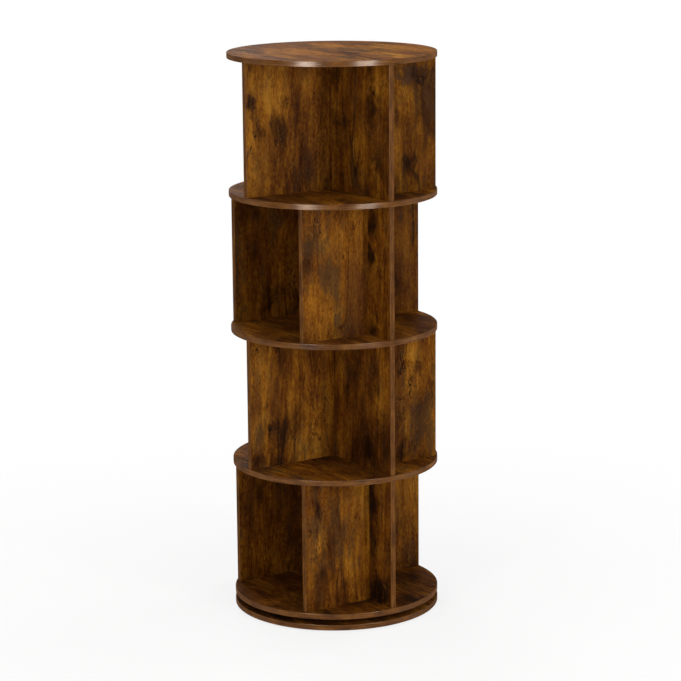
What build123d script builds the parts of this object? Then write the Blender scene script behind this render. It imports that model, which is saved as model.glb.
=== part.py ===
"""Revolving bookcase: four round tiers of board that turn on a ball bearing over a fixed base.

Flat-pack construction. Round boards and upright panels are cut from one thickness of faced
board, edge-banded, and held by cam bolts, cams and dowels. Every tier has the same four
panels, and each tier is turned half a turn from the one below.

Frame: millimetres, +Z up, origin at the centre of the footprint on the floor. The odd tiers,
counted from the bottom, have their book bay on the -X side, and the even ones on the +X side.
"""

from build123d import *
from dataclasses import dataclass
from math import sqrt
import os

# ---------------------------------------------------------------- driving dimensions
board_diameter = 460.0  # every round board, over its edge band
board_thickness = 12.0  # boards and panels alike
band_thickness = 1.0  # edge banding
band_rounding = 0.7  # on the outer edges of the banding
band_rounding_share = 0.9  # of the banding's thickness, the most that the rounding takes
tier_height = 291.0  # clear height between two boards
tier_count = 4
bay_width = 262.0  # clear width between the two side panels
panel_setback = 3.0  # from a board's rim to the panels' outer corners

glide_height = 3.0
glide_rounding_share = 0.25  # of a glide's height
glide_diameter = 24.0
glide_inset = 35.0  # from the base's rim to a glide's centre
glide_count = 6
glide_pin_diameter = 2.6
glide_pin_length = 9.0

bearing_height = 13.0  # the gap between the base and the turntable board
race_diameter = 270.0  # the circle of the balls' centres
ball_diameter = 6.0
ball_count = 24
ball_clearance = 0.1  # between a ball and its groove or pocket
race_gap = 3.0  # between the two race walls
race_wall = 5.5
ring_flange_width = 14.0
ring_flange_thickness = 2.5
ring_clearance = 1.0  # between a ring and the board that it isn't screwed to
cage_thickness = 1.6
cage_height = 8.0
ring_screw_count = 6
inner_screw_angle = 15.0  # keeps these screws away from the panels' bolts
outer_screw_angle = 45.0
access_hole_diameter = 18.0  # in the base, for a screwdriver to reach the inner ring's screws

screw_diameter = 3.5
screw_head_diameter = 7.0
screw_head_height = 2.2
screw_tip_length = 2.5
screw_recess_width = 0.9
screw_recess_length = 3.6
screw_recess_depth = 1.2

bolt_thread_diameter = 6.0
bolt_bore_diameter = 7.0  # the bore in a panel's end
bolt_collar_thickness = 1.0
bolt_shank_diameter = 5.0
bolt_neck_diameter = 3.0
bolt_head_diameter = 5.8
bolt_head_length = 2.6
bolt_inset = 45.0  # from a fin's or side panel's ends to its bolts
divider_bolt_inset = 40.0  # from the bay's walls to the divider's bolts
divider_dowel_inset = 25.0  # from the divider's ends to its dowels
divider_stagger = 8.0  # keeps the fastenings of two dividers clear of each other in their board

cam_diameter = 12.0
cam_setback = 24.0  # from a panel's end to the cam's centre
cam_sink = 0.4  # how far the cam lies below the panel's face
cam_recess_diameter = 3.6
cam_recess_depth = 1.4
cam_slot_length = 7.0
cam_slot_width = 1.2
cap_diameter = 14.0
cap_thickness = 0.8
cap_rounding = 0.3

dowel_diameter = 6.0
dowel_panel_depth = 18.0  # the dowel's hole in a panel's end
dowel_chamfer = 0.8

blind_floor = 2.0  # board left behind a blind hole or a cam's pocket
dowel_floor = 4.0  # board left behind a dowel's hole
hole_end_gap = 0.5  # from a fastener's end to the bottom of its hole
fit_clearance = 0.05  # radial, round a fastener that is held in its hole
slip_clearance = 0.3  # radial, round a bolt where it passes through a bore or a cam

# ---------------------------------------------------------------- derived dimensions
board_radius = board_diameter / 2
half_thickness = board_thickness / 2
core_radius = board_radius - band_thickness
edge_rounding = min(band_rounding, band_rounding_share * band_thickness)
tier_pitch = tier_height + board_thickness

base_bottom = glide_height
base_top = base_bottom + board_thickness
turntable_bottom = base_top + bearing_height
bearing_middle = base_top + bearing_height / 2

corner_radius = board_radius - panel_setback  # the circle that the panels' corners stay inside
divider_reach = sqrt(corner_radius**2 - half_thickness**2)
side_outer_face = bay_width / 2 + board_thickness
side_centre = bay_width / 2 + half_thickness
side_reach = sqrt(corner_radius**2 - side_outer_face**2)

blind_depth = board_thickness - blind_floor
dowel_board_depth = board_thickness - dowel_floor
dowel_length = dowel_board_depth + dowel_panel_depth - 2 * hole_end_gap
cam_radius = cam_diameter / 2 - fit_clearance
cam_height = blind_depth - cam_sink

race_radius = race_diameter / 2
outer_wall_inside = race_radius + race_gap / 2
outer_wall_outside = outer_wall_inside + race_wall
inner_wall_outside = race_radius - race_gap / 2
inner_wall_inside = inner_wall_outside - race_wall
outer_screw_radius = outer_wall_outside + ring_flange_width / 2
inner_screw_radius = inner_wall_inside - ring_flange_width / 2
screw_length = ring_flange_thickness + blind_depth - hole_end_gap

os.makedirs("parts", exist_ok=True)


def save(piece, name):
    """Label a finished piece and write its STEP file."""
    piece.part.label = name
    export_step(piece.part, f"parts/{name}.step")


def board_bottom(level):
    """Underside of a turning board: level 0 is the turntable, tier_count is the top."""
    return turntable_bottom + level * tier_pitch


# ---------------------------------------------------------------- where the panels stand
@dataclass
class Panel:
    """An upright panel. Its plane lies in the middle of the panel, at mid-height, with x along
    the panel and z towards the face that holds the cams. Lengths are along that x."""

    name: str
    plane: Plane
    start: float
    end: float
    bolts: list
    dowels: list
    banded: list  # the ends that show: -1 for the start, 1 for the end

    def plan(self, along):
        """Plan position of a point on the panel's centre line."""
        point = self.plane.from_local_coords((along, 0, 0))
        return point.X, point.Y


def tier_panels(tier):
    """The four panels of a tier, counted from 1 at the bottom."""
    bay_side = 1 if tier % 2 == 0 else -1
    middle = board_bottom(tier - 1) + board_thickness + tier_height / 2
    inner_end = half_thickness
    divider_bolt = bay_width / 2 - divider_bolt_inset
    divider_dowel = divider_reach - divider_dowel_inset
    stagger = bay_side * divider_stagger

    divider = Panel(
        f"tier_{tier}_divider",
        Plane(origin=(0, 0, middle), x_dir=(0, 1, 0), z_dir=(1, 0, 0)),
        band_thickness - divider_reach,
        divider_reach - band_thickness,
        [stagger - divider_bolt, stagger + divider_bolt],
        [stagger - divider_dowel, stagger + divider_dowel],
        [-1, 1],
    )
    fin_end = divider_reach - band_thickness
    fin = Panel(
        f"tier_{tier}_fin",
        Plane(origin=(0, 0, middle), x_dir=(-bay_side, 0, 0), z_dir=(0, 1, 0)),
        inner_end,
        fin_end,
        [inner_end + bolt_inset, fin_end - bolt_inset],
        [(inner_end + fin_end) / 2],
        [1],
    )
    side_end = side_reach - band_thickness
    sides = [
        Panel(
            f"tier_{tier}_side_{letter}",
            Plane(origin=(0, y, middle), x_dir=(bay_side, 0, 0), z_dir=(0, 1, 0)),
            inner_end,
            side_end,
            [inner_end + bolt_inset, side_end - bolt_inset],
            [(inner_end + side_end) / 2],
            [1],
        )
        for letter, y in (("a", -side_centre), ("b", side_centre))
    ]
    return [divider, fin, *sides]


tiers = [tier_panels(tier) for tier in range(1, tier_count + 1)]


def plan_points(panels, kind):
    """Plan positions of the panels' bolts or dowels."""
    return [panel.plan(along) for panel in panels for along in getattr(panel, kind)]


# ---------------------------------------------------------------- fasteners, each made once
def wood_screw():
    """Pan-head screw. The underside of its head is at z = 0 and its shank points down."""
    shank = screw_diameter / 2
    head = screw_head_diameter / 2
    dome_radius = (head**2 + screw_head_height**2) / (2 * screw_head_height)
    with BuildPart() as screw:
        with BuildSketch(Plane.XZ):
            with BuildLine():
                Polyline(
                    (0, screw_head_height),
                    (0, -screw_length),
                    (shank, screw_tip_length - screw_length),
                    (shank, 0),
                    (head, 0),
                )
                RadiusArc((head, 0), (0, screw_head_height), -dome_radius)
            make_face()
        revolve(axis=Axis.Z)
        with BuildSketch(Plane.XY.offset(screw_head_height)):
            Rectangle(screw_recess_length, screw_recess_width)
            Rectangle(screw_recess_width, screw_recess_length)
        extrude(amount=-screw_recess_depth, mode=Mode.SUBTRACT)
    return screw.part


def cam_bolt():
    """Cam bolt. Its thread points down from z = 0, the board's face, and its head points up."""
    thread_end = hole_end_gap - blind_depth
    shank_end = cam_setback - cam_diameter / 2
    head_start = cam_setback - bolt_head_length / 2
    head_end = cam_setback + bolt_head_length / 2
    thread = bolt_thread_diameter / 2 - fit_clearance
    collar = bolt_bore_diameter / 2 - fit_clearance
    shank = bolt_shank_diameter / 2
    neck = bolt_neck_diameter / 2
    head = bolt_head_diameter / 2
    with BuildPart() as bolt:
        with BuildSketch(Plane.XZ):
            with BuildLine():
                Polyline(
                    (0, head_end),
                    (0, thread_end),
                    (thread, thread_end),
                    (thread, 0),
                    (collar, 0),
                    (collar, bolt_collar_thickness),
                    (shank, bolt_collar_thickness),
                    (shank, shank_end - slip_clearance),
                    (neck, shank_end - slip_clearance),
                    (neck, head_start),
                    (head, head_start),
                    (head, head_end),
                    (0, head_end),
                )
            make_face()
        revolve(axis=Axis.Z)
    return bolt.part


def cam():
    """Locked cam. Its axis is z, its foot is at z = 0 and its bolt comes in along -y."""
    bolt_level = cam_height + cam_sink - half_thickness
    cavity_radius = bolt_head_diameter / 2 + slip_clearance
    cavity_length = bolt_head_length + 2 * slip_clearance
    slot = bolt_neck_diameter / 2 + slip_clearance
    with BuildPart() as body:
        Cylinder(cam_radius, cam_height, align=(Align.CENTER, Align.CENTER, Align.MIN))
        with Locations((0, 0, bolt_level)):
            Cylinder(cavity_radius, cavity_length, rotation=(90, 0, 0), mode=Mode.SUBTRACT)
            Cylinder(
                slot,
                cam_diameter,
                rotation=(90, 0, 0),
                align=(Align.CENTER, Align.CENTER, Align.MIN),
                mode=Mode.SUBTRACT,
            )
            Box(
                cam_diameter,
                cavity_length,
                2 * slot,
                align=(Align.MIN, Align.CENTER, Align.CENTER),
                mode=Mode.SUBTRACT,
            )
        with BuildSketch(Plane.XY.offset(cam_height)):
            Circle(cam_recess_diameter / 2)
            Rectangle(cam_slot_length, cam_slot_width)
            Rectangle(cam_slot_width, cam_slot_length)
        extrude(amount=-cam_recess_depth, mode=Mode.SUBTRACT)
    return body.part


def cam_cap():
    """Plastic cap over a cam. Its flange lies on z = 0 and its plug sits in the cam's recess."""
    plug_length = cam_sink + cam_recess_depth - hole_end_gap
    with BuildPart() as cap:
        Cylinder(cap_diameter / 2, cap_thickness, align=(Align.CENTER, Align.CENTER, Align.MIN))
        fillet(cap.edges().group_by(Axis.Z)[-1], radius=cap_rounding)
        Cylinder(
            cam_recess_diameter / 2 - fit_clearance,
            plug_length,
            align=(Align.CENTER, Align.CENTER, Align.MAX),
        )
    return cap.part


def dowel():
    """Wooden dowel. It points up from the bottom of its hole in the board, at z = 0."""
    with BuildPart() as pin:
        Cylinder(
            dowel_diameter / 2 - fit_clearance,
            dowel_length,
            align=(Align.CENTER, Align.CENTER, Align.MIN),
        )
        chamfer(pin.edges().filter_by(GeomType.CIRCLE), length=dowel_chamfer)
    return pin.part


def glide():
    """Plastic floor glide with the pin that holds it in the base. It stands on z = 0."""
    with BuildPart() as pad:
        Cylinder(glide_diameter / 2, glide_height, align=(Align.CENTER, Align.CENTER, Align.MIN))
        fillet(pad.edges().group_by(Axis.Z)[0], radius=glide_rounding_share * glide_height)
        with Locations((0, 0, glide_height)):
            Cylinder(
                glide_pin_diameter / 2 - fit_clearance,
                glide_pin_length - hole_end_gap,
                align=(Align.CENTER, Align.CENTER, Align.MIN),
            )
    return pad.part


def save_group(shape, places, name):
    """Write copies of one shape, at the given locations, as one node of separate solids."""
    with BuildPart() as group:
        with Locations(*places):
            add(shape)
    save(group, name)


# ---------------------------------------------------------------- boards and their edge bands
def save_board(name, bottom, top_holes=(), bottom_holes=(), through_holes=()):
    """A round board. Each hole is ((x, y), diameter, depth), and through holes have no depth."""
    with BuildPart(Plane.XY.offset(bottom)) as board:
        Cylinder(core_radius, board_thickness, align=(Align.CENTER, Align.CENTER, Align.MIN))
        for (x, y), diameter, depth in top_holes:
            with Locations((x, y, board_thickness)):
                Hole(diameter / 2, depth)
        for (x, y), diameter, depth in bottom_holes:
            with Locations(Location((x, y, 0), (180, 0, 0))):
                Hole(diameter / 2, depth)
        for (x, y), diameter in through_holes:
            with Locations((x, y, board_thickness)):
                Hole(diameter / 2, board_thickness)
    save(board, name)


def save_edge_band(name, bottom):
    """The band round a board's edge, with its outer edges rounded."""
    with BuildPart(Plane.XY.offset(bottom)) as band:
        Cylinder(board_radius, board_thickness, align=(Align.CENTER, Align.CENTER, Align.MIN))
        outer_edges = band.edges().filter_by(GeomType.CIRCLE)
        fillet(outer_edges, radius=edge_rounding)
        Cylinder(
            core_radius,
            board_thickness,
            align=(Align.CENTER, Align.CENTER, Align.MIN),
            mode=Mode.SUBTRACT,
        )
    save(band, name)


def fastener_holes(panels):
    """Holes in a board's face for the bolts and dowels of the panels that stand against it."""
    bolts = [(point, bolt_thread_diameter, blind_depth) for point in plan_points(panels, "bolts")]
    dowels = [(point, dowel_diameter, dowel_board_depth) for point in plan_points(panels, "dowels")]
    return bolts + dowels


def polar_points(radius, count, start_angle):
    """Plan positions evenly round a circle."""
    places = PolarLocations(radius, count, start_angle).locations
    return [(place.position.X, place.position.Y) for place in places]


outer_screws = polar_points(outer_screw_radius, ring_screw_count, outer_screw_angle)
inner_screws = polar_points(inner_screw_radius, ring_screw_count, inner_screw_angle)
glide_points = polar_points(board_radius - glide_inset, glide_count, 0)

save_board(
    "base_board",
    base_bottom,
    top_holes=[(point, screw_diameter + 2 * fit_clearance, blind_depth) for point in outer_screws],
    bottom_holes=[(point, glide_pin_diameter, glide_pin_length) for point in glide_points],
    through_holes=[(inner_screws[0], access_hole_diameter)],
)
save_edge_band("base_edge_band", base_bottom)

board_names = ["turntable", *(f"shelf_{number}" for number in range(1, tier_count)), "top"]
for level, board_name in enumerate(board_names):
    below = fastener_holes(tiers[level - 1]) if level > 0 else []
    above = fastener_holes(tiers[level]) if level < tier_count else []
    if level == 0:
        below = [(point, screw_diameter + 2 * fit_clearance, blind_depth) for point in inner_screws]
    save_board(f"{board_name}_board", board_bottom(level), top_holes=above, bottom_holes=below)
    save_edge_band(f"{board_name}_edge_band", board_bottom(level))

# ---------------------------------------------------------------- glides
save_group(glide(), [Location((x, y, 0)) for x, y in glide_points], "glides")

# ---------------------------------------------------------------- turntable bearing
groove_radius = ball_diameter / 2 + ball_clearance

# The outer ring stands on the base, and its flange points outwards.
with BuildPart() as bearing_outer_ring:
    with BuildSketch(Plane.XZ):
        with Locations((outer_wall_inside, base_top)):
            Rectangle(race_wall, bearing_height - ring_clearance, align=(Align.MIN, Align.MIN))
            Rectangle(
                race_wall + ring_flange_width,
                ring_flange_thickness,
                align=(Align.MIN, Align.MIN),
            )
        with Locations((race_radius, bearing_middle)):
            Circle(groove_radius, mode=Mode.SUBTRACT)
    revolve(axis=Axis.Z)
    with Locations(*[(x, y, base_top + ring_flange_thickness) for x, y in outer_screws]):
        Hole(screw_diameter / 2 + slip_clearance, ring_flange_thickness)
save(bearing_outer_ring, "bearing_outer_ring")

# The inner ring hangs from the turntable board, and its flange points inwards.
with BuildPart() as bearing_inner_ring:
    with BuildSketch(Plane.XZ):
        with Locations((inner_wall_outside, turntable_bottom)):
            Rectangle(race_wall, bearing_height - ring_clearance, align=(Align.MAX, Align.MAX))
            Rectangle(
                race_wall + ring_flange_width,
                ring_flange_thickness,
                align=(Align.MAX, Align.MAX),
            )
        with Locations((race_radius, bearing_middle)):
            Circle(groove_radius, mode=Mode.SUBTRACT)
    revolve(axis=Axis.Z)
    with Locations(*[(x, y, turntable_bottom) for x, y in inner_screws]):
        Hole(screw_diameter / 2 + slip_clearance, ring_flange_thickness)
save(bearing_inner_ring, "bearing_inner_ring")

with BuildPart(Plane.XY.offset(bearing_middle)) as bearing_ball_cage:
    Cylinder(race_radius + cage_thickness / 2, cage_height)
    Cylinder(race_radius - cage_thickness / 2, cage_height, mode=Mode.SUBTRACT)
    with PolarLocations(race_radius, ball_count):
        Cylinder(
            ball_diameter / 2 + ball_clearance,
            2 * cage_thickness,
            rotation=(0, 90, 0),
            mode=Mode.SUBTRACT,
        )
save(bearing_ball_cage, "bearing_ball_cage")

with BuildPart(Plane.XY.offset(bearing_middle)) as bearing_balls:
    with PolarLocations(race_radius, ball_count):
        Sphere(ball_diameter / 2)
save(bearing_balls, "bearing_balls")

save_group(
    wood_screw(),
    [Location((x, y, base_top + ring_flange_thickness)) for x, y in outer_screws],
    "bearing_outer_screws",
)
save_group(
    wood_screw(),
    [Location((x, y, turntable_bottom - ring_flange_thickness), (180, 0, 0)) for x, y in inner_screws],
    "bearing_inner_screws",
)


# ---------------------------------------------------------------- panels
def save_panel(panel):
    """A panel's core, drilled for its cams, bolts and dowels."""
    with BuildPart(panel.plane) as core:
        with Locations(((panel.start + panel.end) / 2, 0, 0)):
            Box(panel.end - panel.start, tier_height, board_thickness)
        for end in (-1, 1):
            into_panel = (-90 * end, 0, 0)
            end_level = end * tier_height / 2
            cam_level = end_level - end * cam_setback
            with Locations(*[(along, cam_level, half_thickness) for along in panel.bolts]):
                Hole(cam_diameter / 2, blind_depth)
            with Locations(*[Location((along, end_level, 0), into_panel) for along in panel.bolts]):
                Hole(bolt_bore_diameter / 2, cam_setback)
            with Locations(*[Location((along, end_level, 0), into_panel) for along in panel.dowels]):
                Hole(dowel_diameter / 2, dowel_panel_depth)
    save(core, panel.name)


def band_strip():
    """The band on a panel's edge: glued on at x = 0, and rounded on its outer side."""
    with BuildPart() as strip:
        with Locations((band_thickness / 2, 0, 0)):
            Box(band_thickness, tier_height, board_thickness)
        outer_edges = strip.edges().filter_by(Axis.Y).group_by(Axis.X)[-1]
        fillet(outer_edges, radius=edge_rounding)
    return strip.part


def band_places(panel):
    """Where a panel's bands go: at its end, and at its start turned half a turn."""
    places = {1: Location((panel.end, 0, 0)), -1: Location((panel.start, 0, 0), (0, 180, 0))}
    return [panel.plane.location * places[end] for end in panel.banded]


def cam_places(panel, lift):
    """Locations on a panel's cam face, or lift from it, with -y towards the panel's near end."""
    level = half_thickness + lift
    cam_place = tier_height / 2 - cam_setback
    return [
        panel.plane.location * Location((along, end * cam_place, level), (0, 0, turn))
        for along in panel.bolts
        for end, turn in ((-1, 0), (1, 180))
    ]


for tier, panels in enumerate(tiers, start=1):
    for panel in panels:
        save_panel(panel)
    band_seats = [place for panel in panels for place in band_places(panel)]
    save_group(band_strip(), band_seats, f"tier_{tier}_edge_bands")
    cam_seats = [place for panel in panels for place in cam_places(panel, -blind_depth)]
    save_group(cam(), cam_seats, f"tier_{tier}_cams")
    cap_seats = [place for panel in panels for place in cam_places(panel, 0)]
    save_group(cam_cap(), cap_seats, f"tier_{tier}_cam_caps")

# ---------------------------------------------------------------- bolts and dowels, board by board
turned_over = (180, 0, 0)
for level, board_name in enumerate(board_names):
    bottom = board_bottom(level)
    top = bottom + board_thickness
    above = tiers[level] if level < tier_count else []
    below = tiers[level - 1] if level > 0 else []
    bolt_places = [Location((x, y, top)) for x, y in plan_points(above, "bolts")]
    bolt_places += [Location((x, y, bottom), turned_over) for x, y in plan_points(below, "bolts")]
    save_group(cam_bolt(), bolt_places, f"{board_name}_cam_bolts")

    dowel_depth = dowel_board_depth - hole_end_gap
    dowel_places = [Location((x, y, top - dowel_depth)) for x, y in plan_points(above, "dowels")]
    dowel_places += [
        Location((x, y, bottom + dowel_depth), turned_over) for x, y in plan_points(below, "dowels")
    ]
    save_group(dowel(), dowel_places, f"{board_name}_dowels")
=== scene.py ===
"""Looks for the revolving bookcase: printed wood facings, banded edges, hardware and a studio.

Everything is in metres in the CAD frame, apart from the placed marks and the camera's sensor,
which are in millimetres."""

from math import cos, radians, sin

import bpy
from mathutils import Matrix, Vector


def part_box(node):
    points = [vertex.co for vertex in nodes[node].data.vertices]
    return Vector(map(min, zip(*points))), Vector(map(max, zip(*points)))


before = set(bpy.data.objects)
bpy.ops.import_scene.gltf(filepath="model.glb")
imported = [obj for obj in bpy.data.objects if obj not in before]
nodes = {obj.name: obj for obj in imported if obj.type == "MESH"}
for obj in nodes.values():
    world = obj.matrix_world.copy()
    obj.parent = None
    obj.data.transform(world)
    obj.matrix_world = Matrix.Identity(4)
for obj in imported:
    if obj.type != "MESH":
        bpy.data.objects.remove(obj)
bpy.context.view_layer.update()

BOARDS = ("base", "turntable", "shelf_1", "shelf_2", "shelf_3", "top")
TIERS = (1, 2, 3, 4)  # counted from the floor
X_AXIS, Y_AXIS, Z_AXIS = 0, 1, 2
MILLIMETRES = 1000  # in a metre


# ---------------------------------------------------------------- colours
def linear(red, green, blue):
    """An sRGB colour, 0 to 255, as opaque linear light."""
    def channel(value):
        share = value / 255
        return share / 12.92 if share <= 0.04045 else ((share + 0.055) / 1.055) ** 2.4

    return channel(red), channel(green), channel(blue), 1.0


def shaded(colour, share):
    """The colour times a share, with no channel over full light."""
    return (*(min(1.0, channel * share) for channel in colour[:3]), 1.0)


WHITE = (1.0, 1.0, 1.0, 1.0)


# ---------------------------------------------------------------- node helpers
class Graph:
    """Short ways to add shader nodes to a material or a node group."""

    def __init__(self, tree):
        self.tree = tree

    def feed(self, socket, value):
        """Link a socket to another, or set its value."""
        if isinstance(value, bpy.types.NodeSocket):
            self.tree.links.new(value, socket)
        elif value is not None:
            socket.default_value = value

    def node(self, kind, **settings):
        made = self.tree.nodes.new(kind)
        for name, value in settings.items():
            setattr(made, name, value)
        return made

    def math(self, operation, a, b=None, c=None, clamp=False):
        made = self.node("ShaderNodeMath", operation=operation, use_clamp=clamp)
        for socket, value in zip(made.inputs, (a, b, c)):
            self.feed(socket, value)
        return made.outputs[0]

    def times(self, a, b):
        return self.math("MULTIPLY", a, b)

    def total(self, first, *others):
        """The sum of all values, added from left to right."""
        for other in others:
            first = self.math("ADD", first, other)
        return first

    def vector(self, x, y, z):
        made = self.node("ShaderNodeCombineXYZ")
        for socket, value in zip(made.inputs, (x, y, z)):
            self.feed(socket, value)
        return made.outputs[0]

    def parts(self, vector):
        made = self.node("ShaderNodeSeparateXYZ")
        self.feed(made.inputs[0], vector)
        return made.outputs

    def object_place(self):
        """The point in the object's own coordinates, which are the CAD frame's at rest."""
        return self.node("ShaderNodeTexCoord").outputs["Object"]

    def noise(self, vector, detail, roughness=0.5, distortion=0.0):
        """Noise from 0 to 1, one unit to a feature: the vector carries the scale."""
        made = self.node("ShaderNodeTexNoise")
        self.feed(made.inputs["Vector"], vector)
        made.inputs["Scale"].default_value = 1.0
        made.inputs["Detail"].default_value = detail
        made.inputs["Roughness"].default_value = roughness
        made.inputs["Distortion"].default_value = distortion
        return made.outputs["Fac"]

    def grain_place(self, across, along, per_metre, sheet):
        """A place in noise that has so many features a metre (across, along) the grain."""
        return self.vector(self.times(across, per_metre[0]), self.times(along, per_metre[1]), sheet)

    def smooth(self, value, low, high, start=0.0, end=1.0):
        """Smooth step: start where value is at low, end where it is at high."""
        made = self.node("ShaderNodeMapRange", interpolation_type="SMOOTHSTEP")
        settings = {"Value": value, "From Min": low, "From Max": high, "To Min": start, "To Max": end}
        for name, number in settings.items():
            self.feed(made.inputs[name], number)
        return made.outputs["Result"]

    def uneven(self, noise, middle, change):
        """A value that follows the noise, up to the change on each side of the middle."""
        return self.smooth(noise, 0.3, 0.7, middle - change, middle + change)

    def ramp(self, value, stops):
        """Colour ramp. Each stop is (position, colour)."""
        made = self.node("ShaderNodeValToRGB")
        elements = made.color_ramp.elements
        while len(elements) < len(stops):
            elements.new(0.5)
        for element, (position, colour) in zip(elements, stops):
            element.position = position
            element.color = colour
        self.feed(made.inputs[0], value)
        return made.outputs["Color"]

    def blend(self, factor, under, over):
        """The colour under where the factor is 0, and the one over it where it is 1."""
        made = self.node("ShaderNodeMix", data_type="RGBA")
        factor_socket, colour_sockets, result = made.inputs[0], made.inputs[6:8], made.outputs[2]
        self.feed(factor_socket, factor)
        for socket, colour in zip(colour_sockets, (under, over)):
            self.feed(socket, colour)
        return result

    def bump(self, shader, height, strength, distance):
        """Give the shader a fine relief."""
        made = self.node("ShaderNodeBump")
        made.inputs["Strength"].default_value = strength
        made.inputs["Distance"].default_value = distance
        self.feed(made.inputs["Height"], height)
        self.feed(shader.inputs["Normal"], made.outputs["Normal"])


def new_material(name):
    """A material, the graph of its nodes, and its shader."""
    material = bpy.data.materials.new(name)
    material.use_nodes = True
    return material, Graph(material.node_tree), material.node_tree.nodes["Principled BSDF"]


# ---------------------------------------------------------------- the wood print
PRINT_TONES = (
    (0.20, linear(52, 24, 4)),
    (0.37, linear(86, 46, 10)),
    (0.50, linear(119, 69, 14)),
    (0.62, linear(148, 92, 22)),
    (0.80, linear(180, 122, 38)),
)
WASHED_BROWN = linear(84, 48, 22)
WARM_GREY = linear(62, 46, 29)
COOL_GREY = linear(62, 51, 45)
HALO_BROWN = linear(62, 29, 6)
BLOT_BROWN = linear(30, 15, 6)
CRACK_BROWN = linear(30, 16, 7)
CRACKLE_BROWN = linear(34, 18, 7)
CRACKLE_EDGE = linear(164, 112, 54)
HEART_BROWN = linear(30, 15, 8)
PORE_BROWN = linear(44, 25, 13)


class PrintGraph(Graph):
    """The graph of the wood print's node group, with the group's inputs at hand."""

    def __init__(self, tree):
        super().__init__(tree)
        self.inputs = self.node("NodeGroupInput").outputs
        self.across = self.inputs["Across"]
        self.along = self.inputs["Along"]

    def sheet_place(self, across, per_metre, offset):
        """A place in the noise, on this face's sheet plus the offset."""
        return self.grain_place(across, self.along, per_metre, self.total(self.inputs["Sheet"], offset))

    def layer(self, across, per_metre, offset, detail=2.0, roughness=0.5, distortion=0.0):
        """Noise with so many features a metre (across, along). Every layer has its own offset."""
        return self.noise(self.sheet_place(across, per_metre, offset), detail, roughness, distortion)

    def spread(self, value, amount):
        """The value's distance from the middle, times the amount."""
        return self.times(self.math("SUBTRACT", value, 0.5), amount)

    def line(self, value, outer, inner):
        """1 along the contour where the value is 0, fading out between inner and outer."""
        return self.smooth(self.math("ABSOLUTE", value), outer, inner)


def find_knots(g):
    """Knots in a part of the cells: the distance from each, where it lies across, and its cover."""
    per_metre = (8.0, 3.6)
    cells = g.node("ShaderNodeTexVoronoi", feature="F1")
    g.feed(cells.inputs["Vector"], g.sheet_place(g.across, per_metre, 3.1))
    cells.inputs["Scale"].default_value = 1.0
    there = g.smooth(g.parts(cells.outputs["Color"])[0], 0.45, 0.55)
    middle = g.math("DIVIDE", g.parts(cells.outputs["Position"])[0], per_metre[0])
    return cells.outputs["Distance"], middle, there


def bend_grain(g, knot_distance, knot_middle, knot_there):
    """The place across the grain, which bulges round the knots and bends with slow noise."""
    pull = g.times(g.smooth(knot_distance, 0.60, 0.0, 0.0, 0.65), knot_there)
    bulge = g.times(g.math("SUBTRACT", knot_middle, g.across), pull)
    slow_bend = g.spread(g.layer(g.across, (5.0, 2.2), 11.0), 0.040)
    quick_bend = g.spread(g.layer(g.across, (30.0, 9.0), 14.0), 0.007)
    return g.total(g.across, bulge, g.total(slow_bend, quick_bend))


def grain_layers(g, warped):
    """The layers of noise, from broad columns to hairs. Those that follow the grain are warped."""
    return {
        "columns": g.layer(warped, (17.0, 1.3), 1.7),
        "streaks": g.layer(warped, (62.0, 4.2), 5.3, 3.0, 0.55),
        "threads": g.layer(warped, (135.0, 9.0), 8.3, 2.0, 0.6),
        "fibres": g.layer(warped, (260.0, 30.0), 9.9, 2.0, 0.6),
        "hairs": g.layer(warped, (800.0, 110.0), 12.9, 1.0),
        "clouds": g.layer(g.across, (19.0, 8.0), 7.1, 5.0, 0.6),
        "mottle": g.layer(g.across, (46.0, 24.0), 33.0, 6.0, 0.7),
        "speckle": g.layer(g.across, (210.0, 110.0), 45.0, 3.0, 0.65),
    }


# How far each layer moves the print's tone, in the order in which they are added.
TONE_SHARES = {
    "columns": 0.50, "clouds": 0.62, "mottle": 0.36, "streaks": 0.30,
    "threads": 0.32, "fibres": 0.50, "speckle": 0.36, "hairs": 0.40,
}


def sound_wood(g, warped, layers):
    """The colour of the plain print: the layers, a flame figure here and there, golden marks."""
    flames = g.math("SINE", g.times(g.layer(warped, (9.0, 1.1), 17.0, 1.0), 95.0))
    flames_there = g.smooth(g.layer(g.across, (9.0, 3.0), 19.0), 0.47, 0.60, 0.0, 0.060)
    shares = (g.spread(layers[name], share) for name, share in TONE_SHARES.items())
    gold = g.times(g.inputs["Gold"], 0.20)
    return g.ramp(g.total(0.5, *shares, g.times(flames, flames_there), gold), PRINT_TONES)


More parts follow.
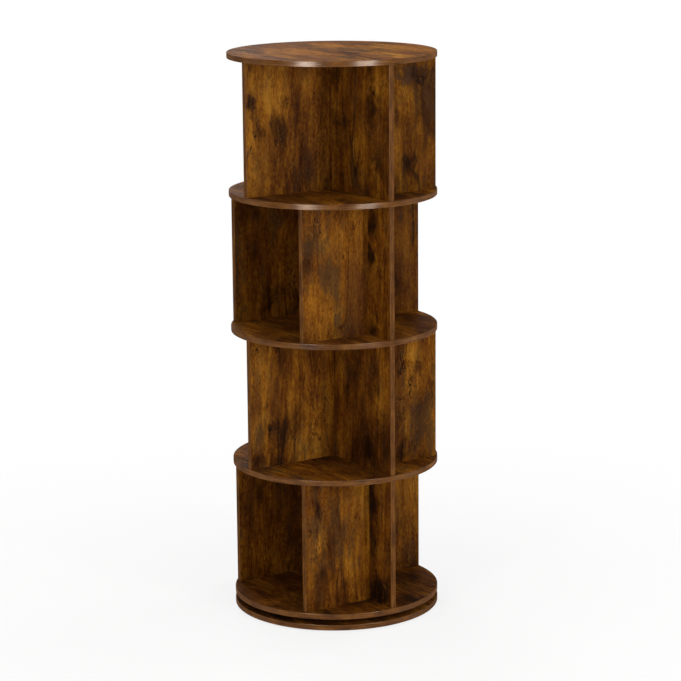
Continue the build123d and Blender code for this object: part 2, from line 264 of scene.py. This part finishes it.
def weathered(g, layers, colour):
    """Washed areas, greyed patches and dark blots, all torn along the grain. A placed mark only
    shifts the threshold, so the noise still gives the outline. Where the marks and the wear
    carry painted shade, the blots are painted shade, and some greyed patches are a painted sheen."""
    tear = g.total(g.spread(layers["streaks"], 0.50), g.spread(layers["fibres"], 0.40))

    wash_noise = g.total(g.layer(g.across, (11.0, 3.2), 25.0, 3.0, 0.55), tear)
    colour = g.blend(g.smooth(wash_noise, 0.50, 0.66, 0.0, 0.50), colour, WASHED_BROWN)

    grey_mark = g.inputs["Grey"]
    grey_noise = g.total(
        g.layer(g.across, (13.0, 6.5), 21.0, 5.0, 0.65),
        tear,
        g.times(grey_mark, 0.26),
        g.spread(layers["mottle"], 0.35),
    )
    grey = g.blend(g.smooth(grey_mark, 0.6, 1.2), WARM_GREY, COOL_GREY)
    colour = g.blend(g.smooth(grey_noise, 0.53, 0.72, 0.0, 0.72), colour, grey)

    blot_noise = g.total(
        g.spread(g.layer(g.across, (11.0, 5.5), 37.0, 7.0, 0.70, 0.5), 1.15),
        # The wear input also carries painted shade on some pieces.
        g.total(g.times(tear, 0.4), g.inputs["WearAndShade"]),
        g.spread(layers["mottle"], 0.25),
        g.times(g.inputs["Dark"], 0.30),
    )
    blot_noise = g.math("SUBTRACT", blot_noise, g.times(g.inputs["Gold"], 0.07))
    colour = g.blend(g.smooth(blot_noise, -0.08, 0.20, 0.0, 0.66), colour, HALO_BROWN)
    return g.blend(g.smooth(blot_noise, 0.04, 0.30, 0.0, 0.94), colour, BLOT_BROWN)


def cracked(g, warped, layers, colour):
    """Cracks along the contours of a slow noise, here and there. Also gives where they are."""
    contour = g.math("ABSOLUTE", g.spread(g.layer(warped, (15.0, 1.7), 53.0, 2.0, 0.4), 1.0))
    contour = g.total(contour, g.spread(layers["hairs"], 0.010))
    there = g.smooth(g.layer(g.across, (12.0, 4.0), 57.0, 2.0), 0.54, 0.62, 0.0, 0.75)
    crack = g.times(g.smooth(contour, 0.013, 0.003), there)
    return g.blend(crack, colour, CRACK_BROWN), crack


def crackled(g, warped, colour):
    """Fine crackle, thin dark lines with a pale edge, in some areas and in golden marks. Also
    gives where the lines are."""
    edge_offset = 0.022
    contour = g.spread(g.layer(warped, (44.0, 9.0), 61.0, 4.0, 0.65), 1.0)
    there = g.smooth(g.layer(g.across, (15.0, 7.0), 67.0, 3.0, 0.6), 0.50, 0.60, 0.0, 0.70)
    there = g.math("MULTIPLY_ADD", g.inputs["Gold"], 0.4, there, clamp=True)
    pale_edge = g.times(g.line(g.math("SUBTRACT", contour, edge_offset), 0.014, 0.004), there)
    colour = g.blend(g.times(pale_edge, 0.32), colour, CRACKLE_EDGE)
    crackle = g.times(g.line(contour, 0.016, 0.005), there)
    return g.blend(crackle, colour, CRACKLE_BROWN), crackle


def with_hearts(g, knot_distance, knot_there, layers, colour):
    """The dark hearts of the knots."""
    distance = g.total(knot_distance, g.spread(layers["streaks"], 0.12))
    return g.blend(g.times(g.smooth(distance, 0.15, 0.05, 0.0, 0.9), knot_there), colour, HEART_BROWN)


def with_pores(g, warped, colour):
    """Short dark pores. Also gives where they are."""
    pores = g.smooth(g.layer(warped, (480.0, 46.0), 41.0, 1.0), 0.66, 0.76, 0.0, 0.35)
    return g.blend(pores, colour, PORE_BROWN), pores


def relief(g, layers, crack, crackle, pores):
    """The height of the surface: fibres stand up, pores and cracks are sunk."""
    height = g.math("SUBTRACT", g.times(layers["fibres"], 0.6), g.times(pores, 0.8))
    height = g.math("SUBTRACT", height, crack)
    return g.math("SUBTRACT", height, g.times(crackle, 0.5))


def make_print_group():
    """Rustic wood print. In: across and along the grain in metres, a sheet number, how strongly
    a placed dark, grey or golden mark covers the point, and how much wear and painted shade add
    to the blots; some dark marks are painted shade and some grey ones a painted sheen.
    Out: colour, relief, streaks."""
    tree = bpy.data.node_groups.new("rustic_print", "ShaderNodeTree")
    for name in ("Across", "Along", "Sheet", "Dark", "Grey", "Gold", "WearAndShade"):
        tree.interface.new_socket(name, in_out="INPUT", socket_type="NodeSocketFloat")
    for name, kind in (("Color", "Color"), ("Height", "Float"), ("Shade", "Float")):
        tree.interface.new_socket(name, in_out="OUTPUT", socket_type=f"NodeSocket{kind}")
    g = PrintGraph(tree)
    knot_distance, knot_middle, knot_there = find_knots(g)
    warped = bend_grain(g, knot_distance, knot_middle, knot_there)
    layers = grain_layers(g, warped)
    colour = weathered(g, layers, sound_wood(g, warped, layers))
    colour, crack = cracked(g, warped, layers, colour)
    colour, crackle = crackled(g, warped, colour)
    colour = with_hearts(g, knot_distance, knot_there, layers, colour)
    colour, pores = with_pores(g, warped, colour)
    out = g.node("NodeGroupOutput")
    g.feed(out.inputs["Color"], colour)
    g.feed(out.inputs["Height"], relief(g, layers, crack, crackle, pores))
    g.feed(out.inputs["Shade"], layers["streaks"])
    return tree


print_group = make_print_group()


# ---------------------------------------------------------------- placed marks
# A mark is (kind, across, along, half width, half height, strength), in millimetres. Its cover
# is the strength times MARK_MIDDLE in its middle, and falls by the strength times MARK_FALL for
# each half size out from there.
MARK_MIDDLE = 1.15
MARK_FALL = 0.65
MARK_LIMIT = 1.6  # the most that overlapping marks can cover a point


def ragged(g, across, along, sheet):
    """The place, pushed about by noise of two sizes, so that a round mark gets a torn outline."""
    # Features a metre, sheet offset, detail, and how far it pushes across and along, in metres.
    noises = (
        ((24.0, 11.0), 50.0, 4.0, (0.034, 0.075)),
        ((150.0, 40.0), 60.0, 3.0, (0.010, 0.030)),
    )
    moved = []
    for axis, place in enumerate((across, along)):
        pushes = []
        for per_metre, offset, detail, reach in noises:
            noise = g.noise(g.grain_place(across, along, per_metre, sheet + offset + axis), detail, 0.6)
            pushes.append(g.math("MULTIPLY_ADD", noise, 2 * reach[axis], -reach[axis]))
        moved.append(g.total(place, g.total(*pushes)))
    return moved


def mark_cover(g, place, middle, half_sizes, strength):
    """How strongly one mark covers the place. It is less than 0 well away from the mark."""
    dx, dy = (
        g.math("MULTIPLY_ADD", value, MILLIMETRES / half_size, -centre / half_size)
        for value, centre, half_size in zip(place, middle, half_sizes)
    )
    distance = g.math("SQRT", g.math("MULTIPLY_ADD", dy, dy, g.times(dx, dx)))
    return g.math("MULTIPLY_ADD", distance, -MARK_FALL * strength, MARK_MIDDLE * strength)


def feed_marks(g, pattern, across, along, sheet, marks, foot, on_face):
    """Tell the print where its marks are. Their heights are counted from the foot. The golden
    ones are evenly round, the others torn."""
    torn = ragged(g, across, along, sheet)
    covers = {}
    for kind, mark_across, mark_along, half_width, half_height, strength in marks:
        place = (across, along) if kind == "Gold" else torn
        middle = (mark_across, mark_along + foot)
        cover = mark_cover(g, place, middle, (half_width, half_height), strength)
        covers[kind] = g.math("MAXIMUM", covers[kind], cover) if kind in covers else cover
    for kind, cover in covers.items():
        cover = g.math("MAXIMUM", g.math("MINIMUM", cover, MARK_LIMIT), 0.0)
        g.feed(pattern.inputs[kind], g.times(cover, on_face))


# ---------------------------------------------------------------- materials
# The sheet number moves with the depth, so that the two faces of a panel, which lie 12 mm
# apart, take different slices of the print.
SHEETS_PER_METRE = 300.0

# Every piece takes its own sheets: the first number of its kind, and the step to the next piece.
BOARD_SHEET, BOARD_SHEET_STEP = 10, 4
BOARD_BAND_SHEET = 60
PANEL_BAND_SHEET = 80
PANEL_SHEET_STEP = 7  # each kind of panel has its own first sheet, in PANELS

# Specular level and roughness.
BOARD_FINISH = (0.015, 0.60)
PANEL_FINISH = (0.016, 0.48)
BOARD_BAND_FINISH = (0.15, 0.24)
PANEL_BAND_FINISH = (0.08, 0.40)

BAND_TONES = ((0.30, linear(50, 25, 6)), (0.50, linear(102, 61, 20)), (0.70, linear(140, 90, 35)))


def print_material(name, node_name, axes, sheet, finish, marks=(), marked_side=None, foot=0, wear_and_shade=0.0):
    """A facing for a CAD node. The axes are those across and along the grain and through the
    panel. The marks lie only on the face for which marked_side, a comparison with the panel's
    middle, is true. They start from the foot, in millimetres. Wear, which on some pieces is
    painted shade, adds to the dark blots."""
    across_axis, along_axis, depth_axis = axes
    specular, roughness = finish
    material, g, shader = new_material(name)
    place = g.parts(g.object_place())
    across, along, depth = place[across_axis], place[along_axis], place[depth_axis]
    pattern = g.node("ShaderNodeGroup", node_tree=print_group)
    g.feed(pattern.inputs["Across"], across)
    g.feed(pattern.inputs["Along"], along)
    g.feed(pattern.inputs["Sheet"], g.math("MULTIPLY_ADD", depth, SHEETS_PER_METRE, float(sheet)))
    pattern.inputs["WearAndShade"].default_value = wear_and_shade
    if marks:
        low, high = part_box(node_name)
        on_face = g.math(marked_side, depth, (low[depth_axis] + high[depth_axis]) / 2)
        feed_marks(g, pattern, across, along, float(sheet), marks, foot, on_face)
    g.feed(shader.inputs["Base Color"], pattern.outputs["Color"])
    g.feed(shader.inputs["Roughness"], g.uneven(pattern.outputs["Shade"], roughness, 0.06))
    shader.inputs["Specular IOR Level"].default_value = specular
    g.bump(shader, pattern.outputs["Height"], strength=0.25, distance=0.0004)
    return material


def band_material(name, radius, sheet, finish):
    """Edge banding with the grain along the band, which runs round a board of the radius, or up
    a panel's edge where there is no radius."""
    specular, roughness = finish
    material, g, shader = new_material(name)
    place = g.parts(g.object_place())
    if radius:
        length = g.times(g.math("ARCTAN2", place[Y_AXIS], place[X_AXIS]), radius)
        width = place[Z_AXIS]
    else:
        length = place[Z_AXIS]
        width = g.total(place[X_AXIS], place[Y_AXIS])
    streaks = g.noise(g.grain_place(width, length, (420.0, 12.0), float(sheet)), 3.0, 0.6)
    patches = g.noise(g.grain_place(width, length, (40.0, 22.0), sheet + 7.0), 3.0, 0.6)
    tone = g.total(g.times(streaks, 0.55), g.times(patches, 0.45))
    g.feed(shader.inputs["Base Color"], g.ramp(tone, BAND_TONES))
    # The gloss dulls where the band turns away, so that its ends have no glints.
    facing = g.node("ShaderNodeLayerWeight")
    facing.inputs["Blend"].default_value = 0.5
    dulling = g.smooth(facing.outputs["Facing"], 0.15, 0.55, 0.0, 0.70)
    uneven = g.uneven(streaks, roughness, 0.05)
    g.feed(shader.inputs["Roughness"], g.math("ADD", uneven, dulling, clamp=True))
    shader.inputs["Specular IOR Level"].default_value = specular
    g.bump(shader, streaks, strength=0.15, distance=0.0003)
    return material


def plain_material(name, colour, roughness, metallic=0.0, grain=60.0, contrast=0.25, specular=0.5):
    """Plastic, metal or bare wood, a little uneven. The grain is in features a metre."""
    material, g, shader = new_material(name)
    scaled = g.node("ShaderNodeVectorMath", operation="SCALE")
    g.feed(scaled.inputs[0], g.object_place())
    scaled.inputs["Scale"].default_value = grain
    mottle = g.noise(scaled.outputs[0], 4.0, 0.6)
    stops = ((0.3, shaded(colour, 1 - contrast)), (0.7, shaded(colour, 1 + contrast)))
    g.feed(shader.inputs["Base Color"], g.ramp(mottle, stops))
    g.feed(shader.inputs["Roughness"], g.uneven(mottle, roughness, 0.15 * roughness))
    shader.inputs["Metallic"].default_value = metallic
    shader.inputs["Specular IOR Level"].default_value = specular
    g.bump(shader, mottle, strength=0.1, distance=0.0002)
    return material


def dress(node_name, material):
    """Give a CAD node its material."""
    slots = nodes[node_name].data.materials
    slots.clear()
    slots.append(material)


# ---------------------------------------------------------------- boards
# Marks on the boards' upper faces: along X and Y from the middle of the board.
BOARD_MARKS = {
    "top": (
        ("Grey", 44, -27, 22, 34, 1.0), ("Grey", 34, -162, 14, 30, 1.0),
        ("Grey", -124, 114, 26, 40, 0.7), ("Dark", -84, 58, 9, 14, 0.9),
        ("Dark", -176, -76, 9, 14, 0.8), ("Dark", -25, -198, 9, 14, 1.0),
        ("Gold", 142, -50, 90, 100, 0.85), ("Gold", -88, -103, 90, 90, 0.25),
        ("Gold", 30, 60, 60, 90, 0.3),
    ),
    # The marks at the left ends of shelf_3 and shelf_1 are painted light: the grey ones are a painted
    # sheen and the dark ones painted shade.
    "shelf_3": (("Grey", -212, -10, 36, 60, 0.8), ("Dark", -212, -30, 26, 46, 0.5)),
    "shelf_1": (("Grey", -206, 25, 40, 70, 1.1), ("Dark", -208, 10, 30, 60, 0.45)),
    # The turntable's dark mark is painted shade.
    "turntable": (("Dark", 70, -196, 40, 40, 0.6),),
}
# How much wear adds to the blots. The turntable's extra is painted shade.
USUAL_BOARD_WEAR = 0.02
BOARD_WEAR_AND_SHADE = {"top": 0.0, "turntable": 0.06}


def dress_board(board, number):
    """The facing and the edge band of one board. The number tells the boards' sheets apart."""
    node_name, band_name = f"{board}_board", f"{board}_edge_band"
    sheet = BOARD_SHEET + BOARD_SHEET_STEP * number
    facing = print_material(
        f"{board}_print", node_name, (X_AXIS, Y_AXIS, Z_AXIS), sheet, BOARD_FINISH,
        marks=BOARD_MARKS.get(board, ()), marked_side="GREATER_THAN",
        wear_and_shade=BOARD_WEAR_AND_SHADE.get(board, USUAL_BOARD_WEAR),
    )
    dress(node_name, facing)
    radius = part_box(band_name)[1][X_AXIS]
    band = band_material(f"{board}_band", radius, BOARD_BAND_SHEET + number, BOARD_BAND_FINISH)
    dress(band_name, band)


for number, board in enumerate(BOARDS):
    dress_board(board, number)


# ---------------------------------------------------------------- panels
# Marks on the faces towards the camera, by tier: across from the case's middle, up from the
# panel's foot.
DIVIDER_MARKS = {
    1: (("Dark", -160, 213, 18, 54, 1.0), ("Dark", -169, 28, 26, 30, 0.9)),
    2: (("Dark", -149, 29, 20, 34, 0.8), ("Dark", -165, 217, 16, 40, 0.5)),
    3: (
        ("Dark", -165, 248, 16, 28, 1.0), ("Dark", -158, 186, 22, 20, 0.8),
        ("Dark", -163, 15, 16, 28, 0.8),
    ),
    4: (
        ("Dark", -157, 273, 18, 10, 0.7), ("Dark", -173, 217, 13, 17, 0.9),
        ("Dark", -168, 175, 30, 24, 0.7), ("Dark", -167, 68, 22, 56, 0.4),
        ("Gold", -200, 241, 20, 40, 0.7),
    ),
}
FIN_MARKS = {
    1: (("Gold", 195, 195, 30, 60, 0.6),),
    2: (
        ("Gold", -198, 192, 30, 70, 1.2), ("Gold", -200, 117, 24, 34, 0.9),
        ("Dark", -180, 72, 8, 26, 0.8), ("Dark", -211, 17, 15, 15, 0.8),
        ("Gold", -85, 29, 45, 36, 0.8), ("Gold", -210, 87, 18, 40, 0.8),
    ),
    3: (("Grey", 176, 228, 15, 14, 0.9), ("Gold", 195, 174, 28, 40, 0.5)),
    4: (
        ("Dark", -134, 141, 20, 38, 1.15), ("Dark", -123, 204, 14, 16, 0.8),
        ("Dark", -207, 191, 9, 18, 0.75), ("Dark", -197, 144, 9, 24, 0.75),
        ("Dark", -104, 268, 14, 10, 0.5), ("Gold", -172, 233, 36, 64, 1.3),
        ("Gold", -205, 61, 30, 70, 1.0), ("Gold", -80, 241, 22, 34, 0.7),
        ("Dark", -150, 51, 12, 60, 0.5), ("Dark", -105, 171, 12, 70, 0.5),
    ),
}
ODD_SIDE_MARKS = (
    ("Grey", -152, 151, 18, 150, 0.7), ("Dark", -145, 230, 9, 16, 0.7),
    ("Dark", -146, 189, 6, 10, 0.7), ("Grey", -131, 133, 14, 34, 0.5),
    ("Grey", -63, 262, 18, 16, 0.7), ("Dark", -40, 196, 4, 4, 0.9),
    ("Gold", -100, 203, 40, 56, 0.3), ("Gold", -25, 193, 30, 90, 0.5),
    ("Gold", -92, 134, 14, 34, 0.3), ("Gold", -52, 114, 18, 60, 0.3),
    ("Grey", -87, 68, 10, 32, 0.8), ("Dark", -77, 29, 16, 13, 0.9),
    ("Grey", -95, 154, 60, 110, 0.45),
)
SIDE_MARKS = {
    1: ODD_SIDE_MARKS,
    2: (
        ("Gold", 115, 245, 20, 26, 1.2), ("Dark", 81, 217, 8, 9, 0.9),
        ("Dark", 128, 211, 13, 14, 0.9), ("Dark", 106, 208, 20, 5, 0.7),
        ("Grey", 123, 117, 18, 20, 0.9), ("Dark", 84, 29, 22, 20, 0.45),
        ("Gold", 104, 177, 34, 40, 0.8), ("Gold", 88, 97, 20, 44, 0.6),
        ("Grey", 148, 132, 26, 100, 0.7),
    ),
    3: ODD_SIDE_MARKS,
    4: (
        ("Grey", 118, 258, 56, 17, 1.3), ("Dark", 138, 260, 34, 12, 0.55),
        ("Grey", 150, 191, 26, 50, 0.8), ("Dark", 75, 154, 9, 20, 0.6),
        ("Dark", 107, 75, 14, 15, 0.6), ("Gold", 110, 211, 26, 30, 0.6),
    ),
}

# Each kind of panel: its axes across, along and through, its first sheet and its marks.
PANELS = {
    "divider": ((Y_AXIS, Z_AXIS, X_AXIS), 110, DIVIDER_MARKS),
    "fin": ((X_AXIS, Z_AXIS, Y_AXIS), 150, FIN_MARKS),
    "side_a": ((X_AXIS, Z_AXIS, Y_AXIS), 190, SIDE_MARKS),
    "side_b": ((X_AXIS, Z_AXIS, Y_AXIS), 230, {}),
}
# How much wear adds to the blots of some panels, or takes off them. On the first two dividers the extra
# darkening is painted shade.
PANEL_WEAR_AND_SHADE = {("divider", 1): 0.05, ("divider", 2): 0.05, ("side_a", 1): -0.03, ("side_a", 3): -0.03}


def dress_panel(kind, tier):
    """The facing of one panel."""
    axes, first_sheet, marks = PANELS[kind]
    node_name = f"tier_{tier}_{kind}"
    foot = round(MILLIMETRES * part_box(node_name)[0][Z_AXIS])
    sheet = first_sheet + PANEL_SHEET_STEP * tier
    facing = print_material(
        f"{kind}_{tier}_print", node_name, axes, sheet, PANEL_FINISH,
        marks=marks.get(tier, ()), marked_side="LESS_THAN", foot=foot,
        wear_and_shade=PANEL_WEAR_AND_SHADE.get((kind, tier), 0.0),
    )
    dress(node_name, facing)


for tier in TIERS:
    for kind in PANELS:
        dress_panel(kind, tier)
    band = band_material(f"tier_{tier}_band", None, PANEL_BAND_SHEET + tier, PANEL_BAND_FINISH)
    dress(f"tier_{tier}_edge_bands", band)


# ---------------------------------------------------------------- hardware
def dress_hardware():
    """The fastenings, the bearing and the glides."""
    cap_plastic = plain_material("cap_plastic", linear(76, 44, 20), 0.55, specular=0.04)
    zinc_plate = plain_material(
        "zinc_plate", linear(205, 204, 198), 0.32, metallic=1.0, grain=300.0, contrast=0.08
    )
    zinc_casting = plain_material(
        "zinc_casting", linear(150, 151, 153), 0.5, metallic=1.0, grain=500.0, contrast=0.12
    )
    beech = plain_material("beech", linear(214, 178, 134), 0.7, grain=200.0, contrast=0.1)
    black_plastic = plain_material("black_plastic", linear(28, 28, 29), 0.5, grain=400.0, contrast=0.15)
    aluminium = plain_material(
        "aluminium", linear(196, 198, 202), 0.35, metallic=1.0, grain=250.0, contrast=0.06
    )
    nylon = plain_material("nylon", linear(226, 220, 205), 0.45, grain=120.0, contrast=0.05)
    ball_steel = plain_material(
        "ball_steel", linear(215, 216, 220), 0.12, metallic=1.0, grain=200.0, contrast=0.03
    )
    for tier in TIERS:
        dress(f"tier_{tier}_cams", zinc_casting)
        dress(f"tier_{tier}_cam_caps", cap_plastic)
    for board in BOARDS[1:]:
        dress(f"{board}_cam_bolts", zinc_plate)
        dress(f"{board}_dowels", beech)
    dress("glides", black_plastic)
    for ring in ("outer", "inner"):
        dress(f"bearing_{ring}_ring", aluminium)
        dress(f"bearing_{ring}_screws", zinc_plate)
    dress("bearing_ball_cage", nylon)
    dress("bearing_balls", ball_steel)


dress_hardware()


# ---------------------------------------------------------------- camera
CAMERA_TURN = radians(33.6)  # how far the camera stands round from the -Y side, towards -X
CAMERA_DISTANCE = 5.404  # from the bookcase's axis
CAMERA_HEIGHT = 1.783
CAMERA_PITCH = 0.21462  # down; this angle and the two below are in radians
CAMERA_YAW = 0.00255  # away from the axis
CAMERA_ROLL = -0.00856
SENSOR_WIDTH = 36.0  # in millimetres
FOCAL_PIXELS, IMAGE_PIXELS = 2474.03, 681
FOCAL_SHARE = FOCAL_PIXELS / IMAGE_PIXELS  # focal length over image width


def direction_out(turn, lift):
    """A direction out from the bookcase's axis, turned from the -Y side towards -X, and raised."""
    return Vector((-sin(turn) * cos(lift), -cos(turn) * cos(lift), sin(lift)))


def make_camera():
    data = bpy.data.cameras.new("camera")
    data.sensor_width = SENSOR_WIDTH
    data.lens = FOCAL_SHARE * SENSOR_WIDTH
    data.clip_start, data.clip_end = 0.1, 100.0
    camera = bpy.data.objects.new("camera", data)
    bpy.context.scene.collection.objects.link(camera)
    forward = -direction_out(CAMERA_TURN + CAMERA_YAW, CAMERA_PITCH)
    level_right = forward.cross(Vector((0, 0, 1))).normalized()
    level_up = level_right.cross(forward)
    right = cos(CAMERA_ROLL) * level_right + sin(CAMERA_ROLL) * level_up
    up = right.cross(forward)
    x = -sin(CAMERA_TURN) * CAMERA_DISTANCE
    y = -cos(CAMERA_TURN) * CAMERA_DISTANCE
    rotation = Matrix((right, up, -forward)).transposed().to_4x4()
    camera.matrix_world = Matrix.Translation(Vector((x, y, CAMERA_HEIGHT))) @ rotation
    bpy.context.scene.camera = camera


# ---------------------------------------------------------------- studio
REFLECTED_WHITE = 0.5  # how white the backdrop looks in a glossy reflection
WORLD_LIGHT = 0.18  # how strongly the surroundings light the bookcase; they look white
FLOOR_SIZE = 30.0
FLOOR_COLOUR = (0.9, 0.9, 0.9, 1.0)
FLOOR_NEAR, FLOOR_FAR = 0.4, 1.8  # the floor fades to white between these distances
FLOOR_NEAR_WHITE = 0.78  # how white it is made near the bookcase; the rest shows the shadow
LAMP_AIM = Vector((0, 0, 0.63))  # about the bookcase's middle
CARD_COLOUR = (1.0, 0.86, 0.72)


def camera_share(g):
    """How white the backdrop looks: fully to the camera and through glass, less in a reflection."""
    path = g.node("ShaderNodeLightPath").outputs
    reflected = g.times(path["Is Glossy Ray"], REFLECTED_WHITE)
    seen = g.math("MAXIMUM", path["Is Camera Ray"], path["Is Transmission Ray"])
    return g.math("MAXIMUM", seen, reflected)


def make_floor():
    """A pale floor that keeps the shadow near the bookcase and fades to white further out."""
    bpy.ops.mesh.primitive_plane_add(size=FLOOR_SIZE, location=(0, 0, 0))
    floor = bpy.context.object
    floor.name = "floor"
    material, g, shader = new_material("floor")
    shader.inputs["Base Color"].default_value = FLOOR_COLOUR
    shader.inputs["Roughness"].default_value = 0.9
    glow = g.node("ShaderNodeEmission")
    glow.inputs["Color"].default_value = WHITE
    length = g.node("ShaderNodeVectorMath", operation="LENGTH")
    g.feed(length.inputs[0], g.object_place())
    share = g.smooth(length.outputs["Value"], FLOOR_NEAR, FLOOR_FAR, FLOOR_NEAR_WHITE, 1.0)
    mixer = g.node("ShaderNodeMixShader")
    g.feed(mixer.inputs[0], g.times(camera_share(g), share))
    g.feed(mixer.inputs[1], shader.outputs[0])
    g.feed(mixer.inputs[2], glow.outputs[0])
    g.feed(material.node_tree.nodes["Material Output"].inputs["Surface"], mixer.outputs[0])
    floor.data.materials.append(material)


def make_world():
    world = bpy.data.worlds.new("studio")
    bpy.context.scene.world = world
    world.use_nodes = True
    g = Graph(world.node_tree)
    background = world.node_tree.nodes["Background"]
    background.inputs["Color"].default_value = WHITE
    strength = g.math("MULTIPLY_ADD", camera_share(g), 1.0 - WORLD_LIGHT, WORLD_LIGHT)
    g.feed(background.inputs["Strength"], strength)


def softbox(name, turn, elevation, distance, size, power, only_gloss=False):
    """A rectangular lamp aimed at the bookcase. The turn goes to the right from the camera's side.
    With only_gloss it is a card that shows in glossy surfaces and lights nothing else."""
    data = bpy.data.lights.new(name, "AREA")
    data.shape = "RECTANGLE"
    data.size, data.size_y = size
    data.energy = power
    if only_gloss:
        data.color = CARD_COLOUR
    lamp = bpy.data.objects.new(name, data)
    bpy.context.scene.collection.objects.link(lamp)
    outward = direction_out(CAMERA_TURN - radians(turn), radians(elevation))
    lamp.location = LAMP_AIM + outward * distance
    lamp.rotation_mode = "QUATERNION"
    lamp.rotation_quaternion = (-outward).to_track_quat("-Z", "Y")
    lamp.visible_diffuse = not only_gloss


# Name, turn and elevation in degrees, distance, width and height, power in watts.
LAMPS = (
    ("key", 42, 13, 3.2, (0.22, 1.9), 28),
    ("fill", -28, 13, 3.2, (0.18, 1.9), 21),
    ("overhead", -20, 80, 3.4, (2.4, 2.4), 68),
    ("back", 200, 24, 3.6, (1.8, 1.8), 42),
    ("side", 128, 18, 3.5, (1.2, 1.9), 30),
)
GLOSS_CARDS = (
    ("right_card", 35, 13, 3.2, (1.05, 1.9), 225),
    ("left_card", -27, 13, 3.2, (1.05, 1.9), 255),
)

make_camera()
make_floor()
make_world()
for lamp in LAMPS:
    softbox(*lamp)
for card in GLOSS_CARDS:
    softbox(*card, only_gloss=True)
bpy.context.scene.view_settings.view_transform = "Standard"
